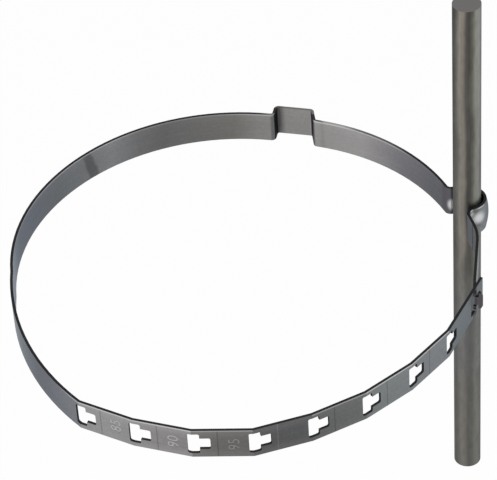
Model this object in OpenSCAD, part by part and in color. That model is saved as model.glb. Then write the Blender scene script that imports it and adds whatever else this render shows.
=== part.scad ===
// Lightning conductor holder: a sheet-steel strap that goes round a downpipe and
// carries a round conductor upright in a pocket at its side.
//
// The strap is one strip. From its free end it runs through nine keyhole windows,
// each with a fold, round the left of the pipe to a squeeze ear, on round the back
// to the pocket, round a lip, and down a tail whose T-hook leaves through the last
// window. The origin is on the pipe's axis at the strip's mid-height, +Z is up
// along the pipe, and the conductor stands on the +X side.
//
// Plan outlines are built as regions. Each region is drawn for a wall offset o:
// o = 0 gives the strip's inner face and o = strap_t its outer face.

/* [Strip] */
// Width of the strip, which is its height round the pipe
strap_w = 9.5; // [8:0.25:12]
// Thickness of the sheet
strap_t = 0.8; // [0.6:0.1:1]
// Radius of the seat that lies against the pipe
pipe_r = 60; // [58:0.5:62]
// Radius of the flatter stretch at the left
left_r = 78.8; // [76:0.1:84]
// Radius of the stretch between the ear and the pocket
back_r = 58.5; // [57:0.1:60]

/* [Windows] */
// Distance from one window to the next
hole_pitch = 16.32; // [15.8:0.02:16.8]
// Height of a window's wide part, which lets the hook through
wide_h = 6.8; // [6.4:0.1:7.2]
// Length of a window's wide part
wide_l = 3.2; // [2.8:0.1:3.6]
// Height of a window's narrow part, which holds the hook
slot_h = 3.8; // [3.4:0.1:4.2]
// Length of a window's narrow part
slot_l = 2.9; // [2.7:0.1:3.3]
// Corner radius of the windows
hole_r = 0.5; // [0.3:0.1:0.7]
// How far each window starts before its fold
hole_lead = 1.1; // [0.8:0.1:1.4]
// Length of strip left past the last window
end_margin = 2.1; // [1.6:0.1:3]

/* [Ear] */
// Inside length of the ear's flat top
ear_l = 10.3; // [9.5:0.1:11]
// How far the ear's top stands clear of the pipe seat
ear_out = 3.9; // [3.4:0.1:4.4]
// Inside bend radius of the ear's corners
ear_r = 0.6; // [0.4:0.1:0.9]
// Lean of the ear's right leg
ear_lean = 18; // [12:1:22]

/* [Pocket] */
// Radius of the conductor
rod_r = 4; // [3.5:0.1:4.2]
// Gap between the conductor and the pocket's wall
rod_gap = 0.55; // [0.4:0.05:0.9]
// Distance of the conductor's axis outside the strip's back stretch
pocket_out = 3.9; // [3.4:0.1:4.4]
// Inside bend radius at the pocket's mouth
mouth_r = 1; // [0.7:0.1:1.4]
// How far the pocket's wall is bowed out at mid-height
bow = 0.6; // [0.4:0.02:0.7]
// Inside bend radius of the lip
lip_r = 1.85; // [1.5:0.05:2.2]

/* [Tail] */
// Length of the slanted run below the lip
lip_run = 7.5; // [6.5:0.1:8.5]
// Inside radius of the gentle bend below it
tail_r = 18; // [12:1:20]
// Length of the tail from that bend down to the hook
tail_l = 23.8; // [22:0.1:25]
// Height of the hook's neck
neck_h = 2.9; // [2.4:0.1:3.2]
// Height of the hook's head
head_h = 5.6; // [5:0.1:6.3]
// Length of the hook's head
head_l = 1.2; // [0.9:0.1:1.6]
// How far the head's outer corners are cut back
head_cut = 0.5; // [0.2:0.1:0.7]
// Inside bend radius of the hook
hook_r = 0.4; // [0.3:0.1:0.6]
// Clearance between the hook's parts and the band that it holds
hook_gap = 0.3; // [0.2:0.05:0.4]

/* [Conductor] */
// How far the conductor stands off the pocket's centre, towards the pipe
rod_off = 0.2; // [0:0.05:0.3]
// Length of conductor above the strip
rod_up = 68.3; // [40:0.5:90]
// Length of conductor below the strip
rod_down = 94.6; // [60:0.5:110]

/* [Hidden] */
$fn = 96;

// Heading of the strip at the first window, and the fold at each later window
first_heading = -30;
folds = [10, 15.5, 19.5, 10.5, 11.5, 10.5, 14];
windows = len(folds) + 2;
// Polar angles, about the pipe, where the seat ends at the left and behind the ear
seat_end = 184;
back_from = 66.88;
// Fold between the seat and the back stretch, and the angle at which the strip's halves meet
back_fold = 8.41;
back_cut = 28;
// Direction of the pocket from the back stretch's centre
pocket_dir = 14.8;
// Tilt of the ear's top, and the place of its left leg along it
ear_tilt = -14.5;
ear_start = 1.2;
// Direction in which the pocket hands over to the lip, the lip's turn, and the tail's slant
lip_from = -76;
lip_turn = 90;
tail_heading = -98.45;
// Direction in which the pocket's wall is bowed, the reach of the bow to each side, and how
// much narrower than the wall its barrel is
bow_dir = 7;
bow_half = 79;
bow_inset = 0.11;
// Where the hook crosses the band, past the start of a window's narrow part
hook_at = -0.3;
// A curve meets its neighbour at a slight crossing of this depth, never at a bare touch
eps = 0.003;
// Reach of a region past the whole strap, and of one past its own stretch of wall
far = 1.5 * pipe_r;
past = 5 * strap_t;

pocket_r = rod_r + rod_gap;

// Plane geometry
function u(a) = [cos(a), sin(a)];
function right_of(a) = [sin(a), -cos(a)];
function left_of(a) = -right_of(a);
function cross_z(a, b) = a[0] * b[1] - a[1] * b[0];
function heading(v) = atan2(v[1], v[0]);
function area_of(p) = [for (i = 0, a = cross_z(p[len(p) - 1], p[0]); i < len(p);
                            a = a + (i + 1 < len(p) ? cross_z(p[i], p[i + 1]) : 0), i = i + 1) a][len(p) - 1];
// Shift of a corner between two walls with normals n and m, for a unit wall offset
function mitre(n, m) = (n + m) / (1 + n * m);
// Point on the line through p along heading a that lies r from the point c, farther along
function on_circle(p, a, c, r) =
    let (along = (c - p) * u(a), off = cross_z(u(a), c - p))
    p + u(a) * (along + sqrt(r * r - off * off));
// Point that lies r from p and s from q, on the left of the way from p to q
function between(p, r, q, s) =
    let (d = norm(q - p), a = heading(q - p), along = (d * d + r * r - s * s) / (2 * d))
    p + along * u(a) + sqrt(r * r - along * along) * left_of(a);

// The back stretch crosses the seat's circle under the ear
back_join = pipe_r * u(back_from);
back_c = back_join - back_r * u(back_from + back_fold);

// Pocket, lip and tail
pocket_c = back_c + (back_r + pocket_out) * u(pocket_dir);
arm_in = pocket_c[0] - far / 5;
lip_mid = lip_r + strap_t / 2;
lip_c = pocket_c + (pocket_r + strap_t + lip_r - eps) * u(lip_from);
lip_end_dir = lip_from + 180 + lip_turn;
lip_heading = lip_end_dir + 90;
tail_top = lip_c + (lip_r + strap_t) * u(lip_end_dir);
tail_bend = tail_top + lip_run * u(lip_heading);
hook_corner = tail_bend + tail_l * u(tail_heading);
hook_heading = 0;

// Outer corners of the front, one at each window's fold. The hook sits just past the start of
// the last window's narrow part, on the band's inner face, so the front follows from it
front_heads = [for (i = 0, a = first_heading; i < windows - 1;
                    a = a + (i < len(folds) ? folds[i] : 0), i = i + 1) a];
last_head = front_heads[windows - 2];
last_fold = hook_corner - (wide_l - hole_lead + hook_at) * u(last_head) - strap_t * left_of(last_head);
front_run = [for (i = 0, p = [0, 0]; i < windows;
                  p = p + hole_pitch * u(front_heads[min(i, windows - 2)]), i = i + 1) p];
front_folds = [for (p = front_run) last_fold + p - front_run[windows - 1]];
window_l = wide_l + slot_l;
band_end = last_fold + (window_l - hole_lead + end_margin) * u(last_head);

// The left stretch is the arc from the seat's end to the first window's fold
seat_join = pipe_r * u(seat_end);
left_c = between(seat_join, left_r, front_folds[0], left_r + strap_t);

// Closed region of a wall at offset o with a convex corner at p between headings a and b,
// where the wall turns right: the two ends of its round, and its centre
function bend_c(p, a, b, r) = p - r * mitre(left_of(a), left_of(b));

// Area inside a list of points, taken counterclockwise whichever way they are listed
module outline(p) {
    last = len(p) - 1;
    polygon(area_of(p) > 0 ? p : [for (i = [0 : last]) p[last - i]]);
}

module disc(c, r) {
    translate(c)
        circle(r = r);
}

// Seat, left stretch and front
module front_side(o) {
    n = len(front_heads);
    folds_out = [for (i = [1 : n - 1])
        front_folds[i] + (o - strap_t) * mitre(right_of(front_heads[i - 1]), right_of(front_heads[i]))];
    first_far = front_folds[0] - far / 2 * u(front_heads[0]) + (o - strap_t) * right_of(front_heads[0]);
    last_out = band_end + (o - strap_t) * right_of(last_head);
    last_in = band_end + past * left_of(last_head);
    top = seat_join[1] + strap_t;
    intersection() {
        disc(left_c, left_r + o);
        outline(concat([[-far, top], [-far, first_far[1]], first_far], folds_out,
                       [last_out, last_in, [last_in[0] / 2, last_in[1]], [0, top]]));
    }
}

module seat_side(o) {
    bottom = seat_join[1] - strap_t;
    intersection() {
        circle(r = pipe_r + o);
        outline([[-far, bottom], [-far, far], [back_join[0], far], back_join / 3, [0, bottom]]);
    }
}

module back_side(o) {
    intersection() {
        disc(back_c, back_r + o);
        outline([back_c, back_c + far * u(back_cut), [far, far], [back_join[0], far],
                 back_join / 3]);
    }
}

// Ear: a hat outside the ring, with rounds inside each corner and at each foot
module ear(o) {
    top = pipe_r + ear_out;
    right_a = ear_lean - 90;
    c0 = [ear_start, top];
    c1 = [ear_start + ear_l, top];
    e0 = bend_c(c0, 90, 0, ear_r);
    e1 = bend_c(c1, 0, right_a, ear_r);
    r = ear_r + o;
    down = ear_l + ear_out;
    rotate(ear_tilt) {
        outline([[ear_start - o, top - down], e0 + r * left_of(90), e0 + r * left_of(0),
                 e1 + r * left_of(0), e1 + r * left_of(right_a),
                 e1 + r * left_of(right_a) + down * u(right_a)]);
        disc(e0, r + eps);
        disc(e1, r + eps);
    }
}

// Centre of the round at an ear's foot, outside the strip, in the ear's own frame
foot_r = 0.6;
left_foot = let (x = ear_start - strap_t - foot_r, d = pipe_r + strap_t + foot_r)
    [x, sqrt(d * d - x * x)];
ear_back_c = [cos(ear_tilt) * back_c[0] + sin(ear_tilt) * back_c[1],
              cos(ear_tilt) * back_c[1] - sin(ear_tilt) * back_c[0]];
right_leg = ear_lean - 90;
right_foot = let (
    p = bend_c([ear_start + ear_l, pipe_r + ear_out], 0, right_leg, ear_r)
        + (ear_r + strap_t + foot_r) * left_of(right_leg),
    back = on_circle(p + far / 4 * u(right_leg), right_leg + 180, ear_back_c, back_r + strap_t + foot_r))
    back;

module ear_feet_fill(o) {
    seat_n = left_foot / norm(left_foot);
    back_n = (right_foot - ear_back_c) / norm(right_foot - ear_back_c);
    rotate(ear_tilt) {
        outline([left_foot, left_foot + (foot_r + strap_t - o) * [1, 0],
                 [ear_start + 2 * strap_t, left_foot[1] - past], seat_n * (pipe_r + o)]);
        outline([right_foot, right_foot - (foot_r + strap_t - o) * left_of(right_leg),
                 right_foot - [past, past], ear_back_c + back_n * (back_r + o)]);
    }
}

module ear_feet(o) {
    rotate(ear_tilt)
        for (c = [left_foot, right_foot])
            disc(c, foot_r + strap_t - o + eps);
}

// Everything inside the strip from the free end round to the back stretch
module ring(o) {
    difference() {
        union() {
            seat_side(o);
            front_side(o);
            back_side(o);
            ear(o);
            ear_feet_fill(o);
        }
        ear_feet(o);
    }
}

// Round where the back stretch turns out into the pocket
mouth_c = let (y = pocket_c[1] + pocket_r + strap_t + mouth_r, d = back_r + strap_t + mouth_r)
    [back_c[0] + sqrt(d * d - (y - back_c[1]) * (y - back_c[1])), y];

module pocket_side(o) {
    r = pocket_r + o;
    mouth_n = (mouth_c - back_c) / norm(mouth_c - back_c);
    floor_y = mouth_c[1] - (mouth_r + strap_t - o);
    union() {
        intersection() {
            disc(back_c, back_r + o);
            outline([back_c, [pocket_c[0], pocket_c[1]], back_c + far * u(back_cut)]);
        }
        outline([[arm_in, pocket_c[1] - 2 * strap_t], [pocket_c[0], pocket_c[1] - 2 * strap_t],
                 [pocket_c[0], pocket_c[1] + r - eps], [mouth_c[0] - past, pocket_c[1] + r - eps]]);
        outline([mouth_c, [mouth_c[0], floor_y - eps], [mouth_c[0] - past, floor_y - past],
                 back_c + mouth_n * (back_r + o)]);
        disc(pocket_c, r);
    }
}

// Lip, tail and hook in plan
module tail_side(o) {
    c0 = lip_c + (lip_r + strap_t - o) * u(lip_end_dir);
    bend0 = bend_c(tail_bend, lip_heading, tail_heading, tail_r);
    r = tail_r + o;
    hook0 = hook_corner + (hook_r + strap_t) * mitre(left_of(tail_heading), left_of(hook_heading));
    rh = hook_r + strap_t - o;
    head_end = hook0 + [head_x1 - hook0[0], -rh];
    outline([[arm_in, pocket_c[1] - strap_t], pocket_c - [past, 0],
             pocket_c + (pocket_r + o - 2 * eps) * u(lip_from),
             lip_c, c0, bend0 + r * left_of(lip_heading), bend0 + r * left_of(tail_heading),
             hook0 - rh * left_of(tail_heading), hook0 - rh * left_of(hook_heading),
             head_end, [head_end[0], hook0[1] - 2 * past], [arm_in, hook0[1] - 2 * past]]);
    intersection() {
        disc(bend0, r + eps);
        outline([bend0, bend0 + 2 * r * u(heading(left_of(lip_heading)) - 1),
                 bend0 + 2 * r * u(heading(left_of(tail_heading)) + 1)]);
    }
}

module tail_rounds(o) {
    hook0 = hook_corner + (hook_r + strap_t) * mitre(left_of(tail_heading), left_of(hook_heading));
    disc(lip_c, lip_r + strap_t - o + eps);
    disc(hook0, hook_r + strap_t - o + eps);
}

module arm(o) {
    difference() {
        union() {
            pocket_side(o);
            tail_side(o);
        }
        disc(mouth_c, mouth_r + strap_t - o + eps);
        tail_rounds(o);
    }
}

// The head starts where the plate has cleared the band's outer face, and ends head_l on
head_x0 = let (n = right_of(last_head), reach = front_folds[windows - 1] * n + hook_gap)
    (reach - n[1] * (hook_corner[1] + strap_t)) / n[0];
head_x1 = head_x0 + head_l;

module wall(w) {
    translate([0, 0, -w / 2])
        linear_extrude(height = w)
            children();
}

// One window, seen from outside: its corners are rounded, its narrow part points to the free end
module rounded(x0, x1, h) {
    c = hole_r;
    outline([[x0 + c, -h / 2], [x1 - c, -h / 2], [x1, -h / 2 + c], [x1, h / 2 - c],
             [x1 - c, h / 2], [x0 + c, h / 2], [x0, h / 2 - c], [x0, -h / 2 + c]]);
    for (x = [x0 + c, x1 - c], y = [c - h / 2, h / 2 - c])
        disc([x, y], c + eps);
}

module window_cut() {
    rotate([90, 0, 0])
        linear_extrude(height = 2 * past, center = true) {
            rounded(-hole_lead, wide_l - hole_lead, wide_h);
            rounded(wide_l - hole_lead - 2 * hole_r, window_l - hole_lead, slot_h);
        }
}

module band() {
    difference() {
        wall(strap_w)
            difference() {
                ring(strap_t);
                ring(0);
            }
        for (i = [0 : windows - 1])
            translate(concat(front_folds[i], 0))
                rotate(front_heads[min(i, windows - 2)])
                    window_cut();
    }
}

// The tail keeps the strip's full width down to the hook's neck
tail_lean = tail_heading + 180 - last_head;
tail_stop = hook_corner - (hook_gap + strap_t * cos(tail_lean)) / sin(tail_lean) * u(tail_heading);

module hook_heights() {
    cut_y = tail_stop[1];
    translate([arm_in, cut_y, -strap_w])
        cube([far, far, 2 * strap_w]);
    translate([arm_in, cut_y - far / 2, -neck_h / 2])
        cube([far, far, neck_h]);
    rotate([90, 0, 0])
        linear_extrude(height = 2 * far, center = true)
            outline([[head_x0, -head_h / 2], [head_x1 - head_cut, -head_h / 2],
                     [head_x1, 2 * head_cut - head_h / 2], [head_x1, head_h / 2 - 2 * head_cut],
                     [head_x1 - head_cut, head_h / 2], [head_x0, head_h / 2]]);
}

// Bowed pocket wall: a turned barrel, a little narrower than the wall and set off towards
// bow_dir, so the bulge sinks into the wall at its sides and at the strip's edges
module barrel(o) {
    r = pocket_r + o - bow_inset;
    curve = strap_w * strap_w / (8 * bow) + o;
    translate(concat(pocket_c + (bow + bow_inset - 4 * eps) * u(bow_dir), 0))
        rotate_extrude()
            intersection() {
                translate([r - curve, 0])
                    circle(r = curve);
                translate([0, -strap_w / 2])
                    square([r + 1, strap_w]);
            }
}

module bow_side() {
    reach = 3 * pocket_r;
    translate(concat(pocket_c, -strap_w))
        rotate(bow_dir)
            linear_extrude(height = 2 * strap_w)
                outline([[0, 0], reach * u(-bow_half), [reach, -reach], [reach, reach],
                         reach * u(bow_half)]);
}

module hooked_arm() {
    difference() {
        intersection() {
            wall(strap_w)
                difference() {
                    arm(strap_t);
                    arm(0);
                }
            hook_heights();
        }
        intersection() {
            barrel(0);
            bow_side();
        }
    }
    // The bulge, hollowed to a line inside the wall that it grows from
    difference() {
        intersection() {
            barrel(strap_t);
            bow_side();
        }
        translate(concat(pocket_c, -strap_w))
            cylinder(r = pocket_r + 0.8 * strap_t, h = 2 * strap_w);
    }
}

module strap() {
    color([0.55, 0.56, 0.58])
        union() {
            band();
            hooked_arm();
        }
}

module conductor() {
    color([0.47, 0.45, 0.43])
        translate([pocket_c[0] - rod_off, pocket_c[1], -strap_w / 2 - rod_down])
            cylinder(r = rod_r, h = rod_down + strap_w + rod_up);
}

strap();
conductor();
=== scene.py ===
# %% [markdown]
# # A lightning conductor holder
#
# This is a strap clamp for a downpipe. One strip of stainless sheet goes round the
# pipe, hooks into one of its own windows, and carries a round conductor in a pocket.
# The shapes come ready from CAD. Blender's work here is the finish of two metals, the
# small numbers punched beside the windows, and a light that shows it all.

# %% Load the frame
import math

import bpy
from mathutils import Matrix, Vector


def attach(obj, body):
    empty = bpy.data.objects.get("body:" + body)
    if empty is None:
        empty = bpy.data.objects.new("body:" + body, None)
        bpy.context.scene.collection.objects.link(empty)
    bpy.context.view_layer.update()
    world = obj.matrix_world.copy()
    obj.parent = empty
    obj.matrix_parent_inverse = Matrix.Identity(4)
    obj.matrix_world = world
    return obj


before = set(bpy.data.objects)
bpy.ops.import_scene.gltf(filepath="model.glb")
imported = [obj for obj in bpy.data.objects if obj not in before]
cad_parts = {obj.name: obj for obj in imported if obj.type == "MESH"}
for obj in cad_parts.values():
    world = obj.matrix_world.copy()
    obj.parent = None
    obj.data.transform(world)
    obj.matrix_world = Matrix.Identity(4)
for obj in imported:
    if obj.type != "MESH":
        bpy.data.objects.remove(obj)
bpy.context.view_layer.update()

bpy.context.scene.view_settings.view_transform = "Standard"
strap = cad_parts["strap"]
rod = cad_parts["conductor"]

# %% [markdown]
# ## The camera
#
# The picture was taken from far off with a long lens, so the ring keeps nearly the
# same width at its back as at its front. A short lens close by would swell the near
# windows. A camera that tracks a target stands upright, and this one leans a little, so
# its own axes are given: its right, and the way back from the object to the lens. Its
# up is square to both. The lens is measured in points of the picture, against the
# picture's width, and then put on a film of the usual width.

# %% Camera
RIGHT = Vector((0.99780, -0.04335, -0.05014))
BACK = Vector((0.0, -0.75653, 0.65396))
EYE = Vector((0.0062, -0.61745, 0.54057))
FOCAL_POINTS = 2921
PICTURE_POINTS = 497
FILM_MM = 36
RAISED = 0.0008


def camera_turn(right, back):
    """The turn whose columns are the camera's axes, made exactly square."""
    back = back.normalized()
    right = (right - back * right.dot(back)).normalized()
    return Matrix((right, back.cross(right), back)).transposed()


lens = bpy.data.cameras.new("view")
lens.lens = FOCAL_POINTS / PICTURE_POINTS * FILM_MM
lens.shift_y = RAISED
camera = bpy.data.objects.new("view", lens)
camera.matrix_world = Matrix.Translation(EYE) @ camera_turn(RIGHT, BACK).to_4x4()
bpy.context.collection.objects.link(camera)
bpy.context.scene.camera = camera
print("lens", round(lens.lens, 1), "mm, looking down",
      round(math.degrees(math.asin(BACK.normalized().z)), 1), "degrees")

# %% [markdown]
# ## Writing a finish as sums
#
# A finish is a web of nodes, and long webs are hard to read as code. Here one small
# class holds a node's output and knows how to add, multiply and so on, so a finish can
# be written as a formula. Numbers that don't vary stay plain Python numbers.

# %% A socket that can be used in a formula
class Tone:
    """One value that varies over a surface: an output of a node, ready for sums."""

    def __init__(self, tree, out):
        self.tree = tree
        self.out = out

    def node(self, kind, settings=None, **inputs):
        return add_node(self.tree, kind, settings, **inputs)

    def combine(self, kind, operation, others):
        values = {f"in{i}": v for i, v in enumerate((self, *others))}
        return self.node(kind, {"operation": operation}, **values)

    def math(self, operation, *others):
        return self.combine("ShaderNodeMath", operation, others)

    def vector(self, operation, *others):
        return self.combine("ShaderNodeVectorMath", operation, others)

    def __add__(self, other):
        return self.math("ADD", other)

    def __sub__(self, other):
        return self.math("SUBTRACT", other)

    def __mul__(self, other):
        return self.math("MULTIPLY", other)

    def __rsub__(self, other):
        return (self * -1).math("ADD", other)

    __radd__ = __add__
    __rmul__ = __mul__

    def __abs__(self):
        return self.math("ABSOLUTE")

    def step(self, low, high):
        """0 below low, 1 above high, and smooth between them."""
        return self.node("ShaderNodeMapRange", {"interpolation_type": "SMOOTHSTEP", "clamp": True},
                         Value=self, From_Min=low, From_Max=high)

    def between(self, low, high, soft):
        """1 from low to high, fading to 0 over soft on each side."""
        return self.step(low - soft, low) * (1 - self.step(high, high + soft))

    def changing(self, start, changes):
        """A level that begins as start, and changes by each amount from a low to a high."""
        level = start
        for amount, low, high in changes:
            level = level + amount * self.step(low, high)
        return level


# %% One method makes every node
def add_node(tree, kind, settings=None, **inputs):
    """A node of that kind, its settings first and then its sockets' values or links.

    An underscore in a name stands for a space, and in0, in1 and so on are sockets by place.
    The result is the output that settings name as "take", or else the first one in use.
    """
    node = tree.nodes.new(kind)
    settings = dict(settings or {})
    take = settings.pop("take", None)
    stops = settings.pop("stops", None)
    for name, value in settings.items():
        setattr(node, name, value)
    if stops:
        ramp = node.color_ramp
        while len(ramp.elements) < len(stops):
            ramp.elements.new(0.5)
        for element, (place, colour) in zip(ramp.elements, stops):
            element.position = place
            element.color = (*colour, 1)
    for name, value in inputs.items():
        if name[:2] == "in" and name[2:].isdigit():
            socket = node.inputs[int(name[2:])]
        else:
            socket = node.inputs[name.replace("_", " ")]
        if isinstance(value, Tone):
            tree.links.new(value.out, socket)
        else:
            socket.default_value = value
    in_use = [out for out in node.outputs if out.enabled]
    named = [out for out in in_use if out.name == take]
    return Tone(tree, (named or in_use)[0]) if in_use else node


# %% [markdown]
# ## The studio
#
# Bare metal shows what stands round it. Here it stands in a pale room, and mirrors
# white, so each metal comes out in just the colour that its own finish gives it. The
# floor looks white to the lens and to the metal, because Light Path tells which rays
# come from them, and for all other rays it is plain pale paint that takes a shadow.
# More lamps would whiten the floor too, but they would wash out the steel.

# %% Rays that see the pale room
WHITE = (1, 1, 1, 1)


def seen_by_lens_or_metal(tree):
    ray = "ShaderNodeLightPath"
    return (add_node(tree, ray, {"take": "Is Camera Ray"})
            + add_node(tree, ray, {"take": "Is Glossy Ray"})
            + add_node(tree, ray, {"take": "Is Transmission Ray"}))


# %% Surround
ROOM = 0.45
world = bpy.data.worlds.new("studio")
bpy.context.scene.world = world
world.use_nodes = True
sky = world.node_tree
sky.nodes.clear()
strength = seen_by_lens_or_metal(sky) * (1 - ROOM) + ROOM
shade = add_node(sky, "ShaderNodeBackground", None, Color=WHITE, Strength=strength)
add_node(sky, "ShaderNodeOutputWorld", None, Surface=shade)
print("the room gives", ROOM, "of white, and looks white")

# %% Floor
FLOOR_Z = -0.45
FLOOR_HALF = 3.0
PAINT = (0.9, 0.9, 0.9, 1)
SEEN_WHITE = 0.96


def floor_sheet(half, z):
    mesh = bpy.data.meshes.new("floor")
    corners = [(-half, -half, z), (half, -half, z), (half, half, z), (-half, half, z)]
    mesh.from_pydata(corners, [], [(0, 1, 2, 3)])
    sheet = bpy.data.objects.new("floor", mesh)
    bpy.context.collection.objects.link(sheet)
    return sheet


def start_material(name):
    made = bpy.data.materials.new(name)
    made.use_nodes = True
    made.node_tree.nodes.clear()
    return made, made.node_tree


floor = floor_sheet(FLOOR_HALF, FLOOR_Z)
paint, tree = start_material("pale_floor")
matt = add_node(tree, "ShaderNodeBsdfDiffuse", None, Color=PAINT)
lit = add_node(tree, "ShaderNodeEmission", None, Color=WHITE, Strength=1.0)
both = add_node(tree, "ShaderNodeMixShader", None,
                in0=seen_by_lens_or_metal(tree) * SEEN_WHITE, in1=matt, in2=lit)
add_node(tree, "ShaderNodeOutputMaterial", None, Surface=both)
floor.data.materials.append(paint)
print("floor at", FLOOR_Z, "m")

# %% Lamps
MIDDLE = Vector((0, 0, 0))


def soft_lamp(name, place, size, power):
    light = bpy.data.lights.new(name, "AREA")
    light.shape = "RECTANGLE"
    light.size = light.size_y = size
    light.energy = power
    lamp = bpy.data.objects.new(name, light)
    lamp.location = place
    lamp.rotation_euler = (MIDDLE - Vector(place)).to_track_quat("-Z", "Y").to_euler()
    bpy.context.collection.objects.link(lamp)
    print(name, "at", place, "with", power, "W")


soft_lamp("key", place=(-0.9, -0.9, 1.0), size=0.9, power=16)
soft_lamp("fill", place=(1.2, -0.3, 0.9), size=0.8, power=8)

# %% [markdown]
# ## Reading the surface
#
# Both finishes need to know where a point is and which way its surface faces. Object
# coordinates give the place in metres, in the CAD's own frame, so a mark can be put
# where a drawing would put it. The normal tells a face of the strip from a cut edge.
# An unwrapped picture could carry the marks too, but it would blur at this size.
#
# A mark is a mask: 1 on it, 0 off it. From here on, two numbers say where a mask starts
# and where it is full. Three say from where to where it is full, and how far it fades
# beyond. A list of threes is a level that changes: by how much, from where, to where.

# %% Place and facing
LEVEL_FACE = (0.6, 0.8)
SPOT_CORE = 0.25


def place_and_facing(tree):
    place = add_node(tree, "ShaderNodeTexCoord", {"take": "Object"})
    facing = add_node(tree, "ShaderNodeNewGeometry", {"take": "Normal"})
    return place, facing


def part(vector, letter):
    """The X, Y or Z of a vector, as a value of its own."""
    return vector.node("ShaderNodeSeparateXYZ", {"take": letter}, Vector=vector)


def side_of(direction):
    """0 for a direction to the pipe's left, 1 for one to its right."""
    return part(direction, "X") * 0.5 + 0.5


def faces_up_or_down(facing):
    return abs(part(facing, "Z")).step(*LEVEL_FACE)


def from_upright(place, line=(0, 0)):
    """How far a point is from an upright line, the pipe's axis if no other is given."""
    across, deep = part(place, "X") - line[0], part(place, "Y") - line[1]
    return (across * across + deep * deep).math("SQRT")


def soft_spot(place, centre, radius, tall):
    """1 at a point of the object and 0 a radius away from it, or tall times that upright."""
    x, y, z = centre
    away = place.vector("MULTIPLY", (1, 1, 1 / tall)).vector("DISTANCE", (x, y, z / tall))
    return 1 - away.step(SPOT_CORE * radius, radius)


# %% Pattern and colour
def noise(place, stretch, detail):
    """A cloudy pattern from 0 to 1, with stretch waves to the metre along X, Y and Z."""
    stretched = place.node("ShaderNodeMapping", None, Vector=place, Scale=stretch)
    return place.node("ShaderNodeTexNoise", {"take": "Factor"}, Vector=stretched, Scale=1.0,
                      Detail=detail)


def ramp(value, stops):
    return value.node("ShaderNodeValToRGB", {"stops": stops, "take": "Color"}, in0=value)


def over(amount, below, above):
    """The colour below, covered by the one above where amount is 1."""
    return amount.node("ShaderNodeMix", {"data_type": "RGBA", "take": "Result"}, Factor=amount,
                       in6=below, in7=above)


def shaded(colour, level):
    """A colour made darker or lighter by a plain level."""
    settings = {"data_type": "RGBA", "blend_type": "MULTIPLY", "take": "Result"}
    return colour.node("ShaderNodeMix", settings, Factor=1.0, in6=colour, in7=level)


# %% Bare metal
GRAZING = (0.55, 0.55, 0.55, 1)
GROOVE = 0.0001


def grooves(height, strength):
    """The fine relief of a metal that was rolled or drawn."""
    return height.node("ShaderNodeBump", None, Strength=strength, Distance=GROOVE, Height=height)


def finish_metal(tree, colour, roughness, **more):
    """End a material as bare metal, which is a little darker where it is seen at a slant."""
    shader = add_node(tree, "ShaderNodeBsdfPrincipled", None, Base_Color=colour, Metallic=1.0,
                      Specular_Tint=GRAZING, Roughness=roughness, **more)
    add_node(tree, "ShaderNodeOutputMaterial", None, Surface=shader)


# %% [markdown]
# ## The strap's steel
#
# Rolled stainless is never one grey, and here its tone is painted reflection of the room:
# a bend is painted light where it turns to the left front, dark where it faces forward,
# and bluish at the far sides. One ramp over the direction that a face looks in, from the
# pipe's left (0) to its right (1), paints that, for the inside and the outside of the
# ring each. Painting it by place would break at the folds.

# %% Painted reflection of the strip by the way it faces
INSIDE_PAINTED_REFLECTION = [
    (0.00, (0.110, 0.115, 0.126)),
    (0.04, (0.110, 0.115, 0.126)),
    (0.07, (0.125, 0.127, 0.141)),
    (0.13, (0.163, 0.160, 0.175)),
    (0.22, (0.272, 0.262, 0.262)),
    (0.33, (0.252, 0.245, 0.242)),
    (0.46, (0.150, 0.146, 0.138)),
    (0.64, (0.115, 0.115, 0.117)),
    (0.70, (0.136, 0.137, 0.139)),
    (0.77, (0.195, 0.200, 0.205)),
    (0.90, (0.128, 0.138, 0.146)),
    (0.97, (0.138, 0.151, 0.180)),
    (0.99, (0.138, 0.161, 0.193)),
    (0.997, (0.150, 0.182, 0.226)),
    (1.00, (0.188, 0.228, 0.286)),
]
OUTSIDE_PAINTED_REFLECTION = [
    (0.00, (0.205, 0.237, 0.275)),
    (0.02, (0.167, 0.196, 0.243)),
    (0.05, (0.148, 0.161, 0.188)),
    (0.09, (0.182, 0.192, 0.215)),
    (0.25, (0.283, 0.279, 0.284)),
    (0.34, (0.270, 0.260, 0.260)),
    (0.46, (0.158, 0.152, 0.147)),
    (0.61, (0.110, 0.111, 0.114)),
    (0.70, (0.126, 0.130, 0.129)),
    (0.79, (0.184, 0.199, 0.203)),
    (0.87, (0.205, 0.219, 0.232)),
    (0.94, (0.168, 0.190, 0.205)),
    (1.00, (0.146, 0.176, 0.192)),
]
print("the strip has", len(INSIDE_PAINTED_REFLECTION), "tones inside and", len(OUTSIDE_PAINTED_REFLECTION), "outside")

# %% [markdown]
# ## Broad faces, and the folds of the front
#
# The front is a row of flats with a fold at each window, but real sheet gives a little
# on both sides of a fold. Flat faces in CAD would step sharply from one painted reflection
# to the next, so on the front a part of the direction is taken from the middle that the
# front bends round. The strip is also painted as if hollow there, with painted shade along
# its middle and painted light to its top, and the inside of the ring has a little painted
# light to its top too. Bending the mesh would do the same, but the shape is the CAD's to give.

# %% Faces of the strip
FRONT_STARTS = (-0.0418, -0.0416)
FRONT_ENDS = (-0.028, -0.020)
FRONT_MIDDLE = (0.0018, 0.0008)
EASED = 0.3
print("the folds of the front are eased by", EASED, "of the way to a round front")


def level_way(place, line=(0, 0)):
    """The level direction to a point from an upright line, such as the pipe's axis."""
    away = place.vector("MULTIPLY_ADD", (1, 1, 0), (-line[0], -line[1], 0))
    return away.vector("NORMALIZE")


def outward(place, facing):
    """1 on the outside of the ring, 0 on its inside."""
    return place.vector("DOT_PRODUCT", facing).step(0.0, 0.01)


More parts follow.
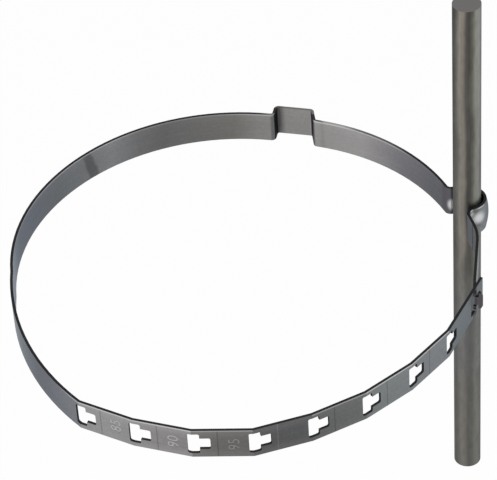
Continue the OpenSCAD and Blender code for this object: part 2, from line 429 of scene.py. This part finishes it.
def front_face(place, facing):
    """1 on the outer face of the strip's front, from the first fold to the hook."""
    started = part(place, "X").step(*FRONT_STARTS)
    return outward(place, facing) * started * (1 - part(place, "Y").step(*FRONT_ENDS))


def eased_side(place, facing, front):
    """The side that a face looks to, with the front's folds eased."""
    side = side_of(facing)
    bowed = side_of(level_way(place, FRONT_MIDDLE))
    return side + EASED * front * (bowed - side)


# %% The rolled sheet
PLAIN, ROLLING, CLOUDS, SPECKS = 0.78, 0.22, 0.16, 0.34
HOLLOW_SIDES = (0.38, 0.58, 0.2)
HOLLOW_FLAT = (0.0015, 0.0042)
HOLLOW_PAINTED_SHADE = 0.2
FRONT_PAINTED_LIGHT = 8
INNER_TOP = (0.0005, 0.0042)
INNER_PAINTED_LIGHT = 0.09


def rolled_level(place):
    """How light the sheet is: fine lines along it, wide clouds, and specks."""
    rolling = noise(place, (60, 60, 1900), 4)
    cloud = noise(place, (90, 90, 140), 3)
    speck = noise(place, (1300, 1300, 1300), 4)
    return PLAIN + ROLLING * rolling + CLOUDS * cloud + SPECKS * speck


def steel_face(place, facing):
    """The sheet's colour: its painted reflection by side, under its pattern and the painted shade
    and light of its hollow.
    """
    outer, front = outward(place, facing), front_face(place, facing)
    side, height = eased_side(place, facing, front), part(place, "Z")
    # painted shade along the front's middle and painted light towards its top, outside and in
    hollow = side.between(*HOLLOW_SIDES) * (1 - abs(height).step(*HOLLOW_FLAT))
    level = rolled_level(place) + front * (FRONT_PAINTED_LIGHT * height - HOLLOW_PAINTED_SHADE * hollow)
    level = level + INNER_PAINTED_LIGHT * (1 - outer) * height.step(*INNER_TOP)
    colour = over(outer, ramp(side, INSIDE_PAINTED_REFLECTION), ramp(side, OUTSIDE_PAINTED_REFLECTION))
    return shaded(colour, level)


# %% [markdown]
# ## Edges, and the line beside them
#
# A punch leaves a torn, rough edge, and every face that isn't a broad face of the strip is
# painted near black as shade: the top and bottom, which face up and down, and the ends of
# the windows and the ear's legs, which face along the strip. A point's own direction from
# the pipe's axis, set against its normal, tells these apart, with no need to pick faces by
# hand. Just under the top edge a painted highlight runs as a bright line, outside where
# the light falls on it and inside by stretches, but not on the ear. From the ear to the
# right, the cut edge itself has painted light instead of painted shade, and that fades
# out towards the pocket.

# %% Cut edges
EDGE_PAINTED_SHADE = (0.028, 0.028, 0.03, 1)
BROAD_FACE = (0.45, 0.75)
POCKET_FROM = (0.0622, 0.0626)
EDGE_LIGHT_CHANGES = [(0.9, 0.010, 0.018), (-0.55, 0.035, 0.043), (-0.35, 0.046, 0.056)]
EDGE_LIGHT_BACK = (0.02, 0.03)
CUT_HEIGHTS = (0.0046, 0.0047)


def torn_edge(place, facing):
    """1 on every cut face: the top, the bottom, and those that look along the strip."""
    broad = abs(level_way(place).vector("DOT_PRODUCT", facing)).step(*BROAD_FACE)
    along = (1 - broad) * (1 - part(place, "X").step(*POCKET_FROM))
    return (faces_up_or_down(facing) + along).math("MINIMUM", 1)


def edge_painted_light(place):
    """How much painted light takes the place of the edges' painted shade on the top and bottom: at
    the back, from the ear to the right.
    """
    back, cut = part(place, "Y").step(*EDGE_LIGHT_BACK), abs(part(place, "Z")).step(*CUT_HEIGHTS)
    return part(place, "X").changing(0, EDGE_LIGHT_CHANGES) * back * cut


# %% Painted highlight under the top edge
EDGE = 0.00475
HIGHLIGHT_HEIGHTS = (EDGE - 0.0004, EDGE, 0.00008)
HIGHLIGHT_GREY, HIGHLIGHT_STRENGTH = (0.6, 0.6, 0.6, 1), 0.8
OUTER_HIGHLIGHT = [(1, 0.08, 0.11), (-1, 0.38, 0.53), (1, 0.64, 0.80), (-1, 0.89, 0.92)]
INNER_HIGHLIGHT_START = 0.48
INNER_HIGHLIGHT = [(-0.28, -0.034, -0.022), (0.4, -0.004, 0.020), (0.35, 0.020, 0.024),
              (-0.35, 0.036, 0.040), (-0.5, 0.049, 0.056)]
EAR_OUT, EAR_BACK = (0.0612, 0.0618), (0.055, 0.057)
print("the bright line is from", HIGHLIGHT_HEIGHTS[0], "to", HIGHLIGHT_HEIGHTS[1], "m up")


def painted_edge_highlight(place, facing):
    """How bright the painted highlight under the top edge is, by the way it faces outside and by
    place inside.
    """
    outer = outward(place, facing)
    on_ear = from_upright(place).step(*EAR_OUT) * part(place, "Y").step(*EAR_BACK)
    inner = (1 - outer) * (1 - on_ear) * part(place, "X").changing(INNER_HIGHLIGHT_START, INNER_HIGHLIGHT)
    lit = outer * side_of(facing).changing(0, OUTER_HIGHLIGHT) + inner
    return part(place, "Z").between(*HIGHLIGHT_HEIGHTS) * lit


# %% [markdown]
# ## Score lines
#
# A fine upright line is scored into the outer face past each window, to bend or to cut
# by. It would be a groove a tenth of a millimetre wide, which shows only as a change of
# tone, so it is painted along a mask. The windows follow each other along short straights,
# and the lines are found by walking along them: each heading in turn, one pitch long. Most
# lines are painted shade. The fourth is turned to the light and is painted light, which a
# depth below 0 gives.

# %% Score lines past the windows
PITCH = 0.01632
FIRST_FOLD = Vector((-0.04171, -0.05829))
HEADINGS = [-30, -20, -4.5, 15, 25.5, 37, 47.5]
SCORES = [(0.0066, 1), (0.0068, 1), (0.0069, 1), (0.0067, -1.2), (0.0067, 1), (0.0073, 1),
          (0.0075, 1)]
SCORE_HALF, SCORE_SOFT = 0.0001, 0.00012
print(len(SCORES), "score lines, on straights of", PITCH, "m")


def straights():
    """The start and the direction of each straight from window to window."""
    start = FIRST_FOLD.copy()
    for degrees in HEADINGS:
        way = Vector((math.cos(math.radians(degrees)), math.sin(math.radians(degrees))))
        yield start.copy(), way
        start += PITCH * way


def score_lines(place, facing):
    """How much painted shade the lines give at a place: 1 on a shaded line, below 0 on one of
    painted light.
    """
    total = 0
    for (start, way), (score_at, depth) in zip(straights(), SCORES):
        run = place.vector("SUBTRACT", (*start, 0)).vector("DOT_PRODUCT", (*way, 0))
        line = run.between(score_at - SCORE_HALF, score_at + SCORE_HALF, SCORE_SOFT)
        total = line * depth + total
    return total * front_face(place, facing)


# %% [markdown]
# ## Painted shade and highlights by place
#
# At the back left, where the strip has a slight kink, a band of painted shade runs across
# its inside. The ear's legs and the inside of the pocket stand close to other metal and
# get little light, so they are painted in shade. The mouth bend and the hook's head are
# painted in the tones that they reflect, and the mouth and the belly of the pocket carry
# painted highlights. Each mark is a mask by place, so it stays put from whatever side
# the strap is seen.

# %% Painted shade at the back left kink
KINK_SHADE_TURN, KINK_SHADE_SLANT, KINK_SHADE_WANDER = 130.9, 250, 2
KINK_SHADE_WIDTH = (-0.9, 0.9, 1.3)
print("the smudge is", KINK_SHADE_TURN, "degrees round from the pipe's right")


def kink_shade(place):
    """1 on the band of painted shade at the kink, which leans across the strip and wanders a
    little.
    """
    turn = part(place, "Y").math("ARCTAN2", part(place, "X")) * math.degrees(1)
    wander = noise(place, (300, 300, 300), 2)
    lean = turn - KINK_SHADE_TURN - KINK_SHADE_SLANT * part(place, "Z") + KINK_SHADE_WANDER * wander
    return lean.between(*KINK_SHADE_WIDTH)


# %% Ear, pocket, mouth and hook
# EAR_LEFT and EAR_FOLD place painted shade at the ear's left fold.
EAR_LEFT, EAR_FOLD = (0.0165, 0.0618), (0.001, 0.0036)
EAR_DEPTH = (0.0613, 0.0633, 0.0005)
EAR_FROM, EAR_TO = (0.050, 0.052), (0.029, 0.031)
EAR_SHADE = (0.038, 0.039, 0.037, 1)
POCKET, POCKET_WALL = (0.06903, 0.01454), (0.00518, 0.00526)
POCKET_SHADE = (0.012, 0.012, 0.013, 1)
# The mouth bend and the hook's head are painted in the tones that they reflect, and the spots are
# painted highlights.
MOUTH, MOUTH_BEND = (0.06473, 0.02089), (0.0021, 0.0026)
BEND_PAINTED_REFLECTION = (0.112, 0.108, 0.122, 1)
HEAD_FROM, HEAD_TO = (0.0664, 0.0666), (-0.0236, -0.0234)
HEAD_PAINTED_REFLECTION = (0.088, 0.084, 0.088, 1)
SPOT_HIGHLIGHT_GREY = (0.62, 0.62, 0.64, 1)
HIGHLIGHT_SPOTS = [((0.0649, 0.0191, -0.0012), 0.0017, 1.6, 1), ((0.0721, 0.0093, 0.0010), 0.0029, 1, 1),
          ((0.0699, 0.0086, 0.0031), 0.0013, 1, 0.5)]
print(len(HIGHLIGHT_SPOTS), "spots shine at the mouth and on the pocket")


def near_upright(place, line, low, high):
    """1 nearer than low to an upright line, 0 farther than high."""
    return 1 - from_upright(place, line).step(low, high)


def hook_head(place):
    """1 on the head that is hooked through the last window."""
    return part(place, "X").step(*HEAD_FROM) * (1 - part(place, "Y").step(*HEAD_TO))


def ear_legs(place):
    """1 on the two legs of the ear, which shade each other."""
    depth, across = from_upright(place).between(*EAR_DEPTH), 1 - part(place, "X").step(*EAR_TO)
    return depth * part(place, "Y").step(*EAR_FROM) * across


# %% [markdown]
# ## The steel put together
#
# The finish is built up in layers: first the rolled sheet, then its painted shade, then
# the painted reflections, highlights and shade that cover its tone, and last the cut edges
# in painted shade, which lie over all else. One material for the whole strip keeps it one
# strip, where a material for each stretch would leave seams between them.

# %% Steel
# Strengths of painted shade: across the back left kink, on the score lines, at the ear's left
# fold.
KINK_SHADE_DEPTH, SCORE_PAINTED_SHADE, EAR_FOLD_SHADE = 0.4, 0.3, 0.55
SMOOTH, GRAINY, TORN = 0.3, 0.12, 0.25
GRAIN_DEPTH = 0.12


def marked_steel(place, facing):
    """The rolled faces with every painted shade, reflection and highlight by place on them."""
    painted_shades = [(KINK_SHADE_DEPTH, kink_shade(place) * (1 - outward(place, facing))),
            (SCORE_PAINTED_SHADE, score_lines(place, facing)),
            (EAR_FOLD_SHADE, near_upright(place, EAR_LEFT, *EAR_FOLD))]
    painted_covers = [(painted_edge_highlight(place, facing) * HIGHLIGHT_STRENGTH, HIGHLIGHT_GREY),
              (near_upright(place, MOUTH, *MOUTH_BEND), BEND_PAINTED_REFLECTION),
              (hook_head(place), HEAD_PAINTED_REFLECTION)]
    for centre, radius, tall, amount in HIGHLIGHT_SPOTS:
        painted_covers.append((soft_spot(place, centre, radius, tall) * amount, SPOT_HIGHLIGHT_GREY))
    painted_covers += [(ear_legs(place), EAR_SHADE),
               (near_upright(place, POCKET, *POCKET_WALL), POCKET_SHADE)]
    colour = steel_face(place, facing)
    for depth, mask in painted_shades:
        colour = shaded(colour, 1 - depth * mask)
    for mask, cover in painted_covers:
        colour = over(mask, colour, cover)
    return colour


def steel():
    made, tree = start_material("rolled_steel")
    place, facing = place_and_facing(tree)
    torn = torn_edge(place, facing)
    # cut edges in painted shade, lifted by painted light at the back behind the ear
    colour = over(torn * (1 - edge_painted_light(place)), marked_steel(place, facing), EDGE_PAINTED_SHADE)
    grain = noise(place, (60, 60, 6000), 3)
    roughness = SMOOTH + GRAINY * grain + TORN * torn
    finish_metal(tree, colour, roughness, Normal=grooves(grain, GRAIN_DEPTH))
    print("rolled steel has", len(tree.nodes), "nodes")
    return made


strap.data.materials.clear()
strap.data.materials.append(steel())

# %% [markdown]
# ## Numbers punched beside the windows
#
# The first three windows carry the size of the pipe that they fit, turned on its side. A
# punched stroke is too fine to cut here, and has a lit wall and a dark wall, so each
# number is laid on twice as thin text with that light painted in: one in painted shade, and
# one in painted light a hair above it that leaves a rim of painted shade. Both take the
# strip's painted reflection for the way that their face looks.

# %% Punched numbers
NUMBER_AT, NUMBER_SIZE = 0.0113, 0.0044
NUMBERS = [("85", 0.0006), ("90", -0.0003), ("95", -0.0003)]
RIM_DROP = 0.0002
RIM_PROUD, WALL_PROUD = 0.00001, 0.00002
CURVE_STEPS = 3
WORN, WORN_LESS = 0.75, 0.5
STROKE_ROUGH = 0.4


def punched_steel(name, level):
    made, tree = start_material(name)
    place, facing = place_and_facing(tree)
    wear = WORN + WORN_LESS * noise(place, (700, 700, 700), 2)
    # level paints light or shade over the strip's painted reflection; wear is a random tone
    colour = shaded(ramp(side_of(facing), OUTSIDE_PAINTED_REFLECTION), level * wear)
    finish_metal(tree, colour, STROKE_ROUGH)
    return made


def punch(name, number, start, way, height, proud, finish):
    words = bpy.data.curves.new(name, "FONT")
    words.body = number
    words.size = NUMBER_SIZE
    words.extrude = proud
    words.resolution_u = CURVE_STEPS
    words.align_x, words.align_y = "CENTER", "CENTER"
    words.materials.append(finish)
    piece = bpy.data.objects.new(name, words)
    along, up = Vector((*way, 0)), Vector((0, 0, 1))
    turn = Matrix((up, -along, along.cross(up))).transposed()
    place = Vector((*(start + NUMBER_AT * way), height))
    piece.matrix_world = Matrix.Translation(place) @ turn.to_4x4()
    bpy.context.collection.objects.link(piece)
    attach(piece, "strap")


# two copies of one finish: painted light and painted shade
painted_light_wall = punched_steel("painted_light_wall", level=1.55)
painted_shade_wall = punched_steel("painted_shade_wall", level=0.6)
for (number, height), (start, way) in zip(NUMBERS, straights()):
    punch(f"rim_{number}", number, start, way, height - RIM_DROP, RIM_PROUD, painted_shade_wall)
    punch(f"number_{number}", number, start, way, height, WALL_PROUD, painted_light_wall)
print("numbers", [number for number, height in NUMBERS])

# %% [markdown]
# ## The conductor
#
# The bar was drawn through a die, which leaves fine straight streaks along it. Its broad
# bands round the bar are painted reflection: a ramp over the way that the surface faces,
# with the fine streaks over it. Stretched noise alone would put them anywhere. Below the
# strap the bar has dulled, its bands are faint, and a stretch of it is a plain grey. A
# patch of painted shade sits behind the strap's tail.

# %% Painted reflection of the bar by the way it faces
BAR_PAINTED_REFLECTION = [
    (0.00, (0.076, 0.076, 0.072)),
    (0.12, (0.144, 0.136, 0.122)),
    (0.22, (0.254, 0.238, 0.209)),
    (0.33, (0.232, 0.206, 0.172)),
    (0.44, (0.085, 0.078, 0.074)),
    (0.55, (0.061, 0.058, 0.050)),
    (0.65, (0.105, 0.105, 0.086)),
    (0.76, (0.240, 0.246, 0.214)),
    (0.88, (0.288, 0.293, 0.270)),
    (1.00, (0.15, 0.155, 0.155)),
]
REFLECTION_WANDER = 0.22
BAR_DULL = (0.128, 0.127, 0.118, 1)
BAR_GREY, GREY_HEIGHTS = (0.128, 0.130, 0.132, 1), (-0.056, -0.034, 0.010)
DULL_LOW = 0.65
DULL_CHANGES = [(-0.4, -0.024, -0.006), (-0.25, 0.030, 0.050)]
DULL_PATCHES, PATCH_RIM = 0.3, (0.45, 0.75)
print("the bar has", len(BAR_PAINTED_REFLECTION), "tones round it")


def bar_reflection(place, facing, patches):
    """The painted reflection bands, which wander a little, dulled in patches and from the strap
    down.
    """
    height = part(place, "Z")
    dulled = height.changing(DULL_LOW, DULL_CHANGES) + DULL_PATCHES * patches.step(*PATCH_RIM)
    dull = over(height.between(*GREY_HEIGHTS), BAR_DULL, BAR_GREY)
    reflected = ramp(side_of(facing) + REFLECTION_WANDER * (patches - 0.5), BAR_PAINTED_REFLECTION)
    return over(dulled, reflected, dull)


# %% Drawn bar
BAR_PLAIN, STREAKS, PATCHES, MOTTLE, TAIL_SHADE = 0.60, 0.24, 0.3, 0.46, 0.22
TAIL_SHADE_AT, TAIL_SHADE_RADIUS, TAIL_SHADE_TALL = (0.0686, 0.0105, -0.018), 0.0028, 3
BAR_END = (0.16, 0.155, 0.15, 1)
BAR_SMOOTH, BAR_PATCHY = 0.36, 0.15
STREAK_DEPTH = 0.15


def drawn_bar():
    made, tree = start_material("drawn_bar")
    place, facing = place_and_facing(tree)
    streaks = noise(place, (1400, 1400, 9), 3)
    patches = noise(place, (160, 160, 60), 4)
    mottle = noise(place, (900, 900, 300), 4)
    # painted shade on the bar behind the strap's tail
    tail_shade = soft_spot(place, TAIL_SHADE_AT, TAIL_SHADE_RADIUS, TAIL_SHADE_TALL)
    level = BAR_PLAIN + STREAKS * streaks + PATCHES * patches + MOTTLE * mottle - TAIL_SHADE * tail_shade
    colour = shaded(bar_reflection(place, facing, patches), level)
    colour = over(faces_up_or_down(facing), colour, BAR_END)
    roughness = BAR_SMOOTH + BAR_PATCHY * patches
    finish_metal(tree, colour, roughness, Normal=grooves(streaks, STREAK_DEPTH))
    print("drawn bar has", len(tree.nodes), "nodes")
    return made


rod.data.materials.clear()
rod.data.materials.append(drawn_bar())
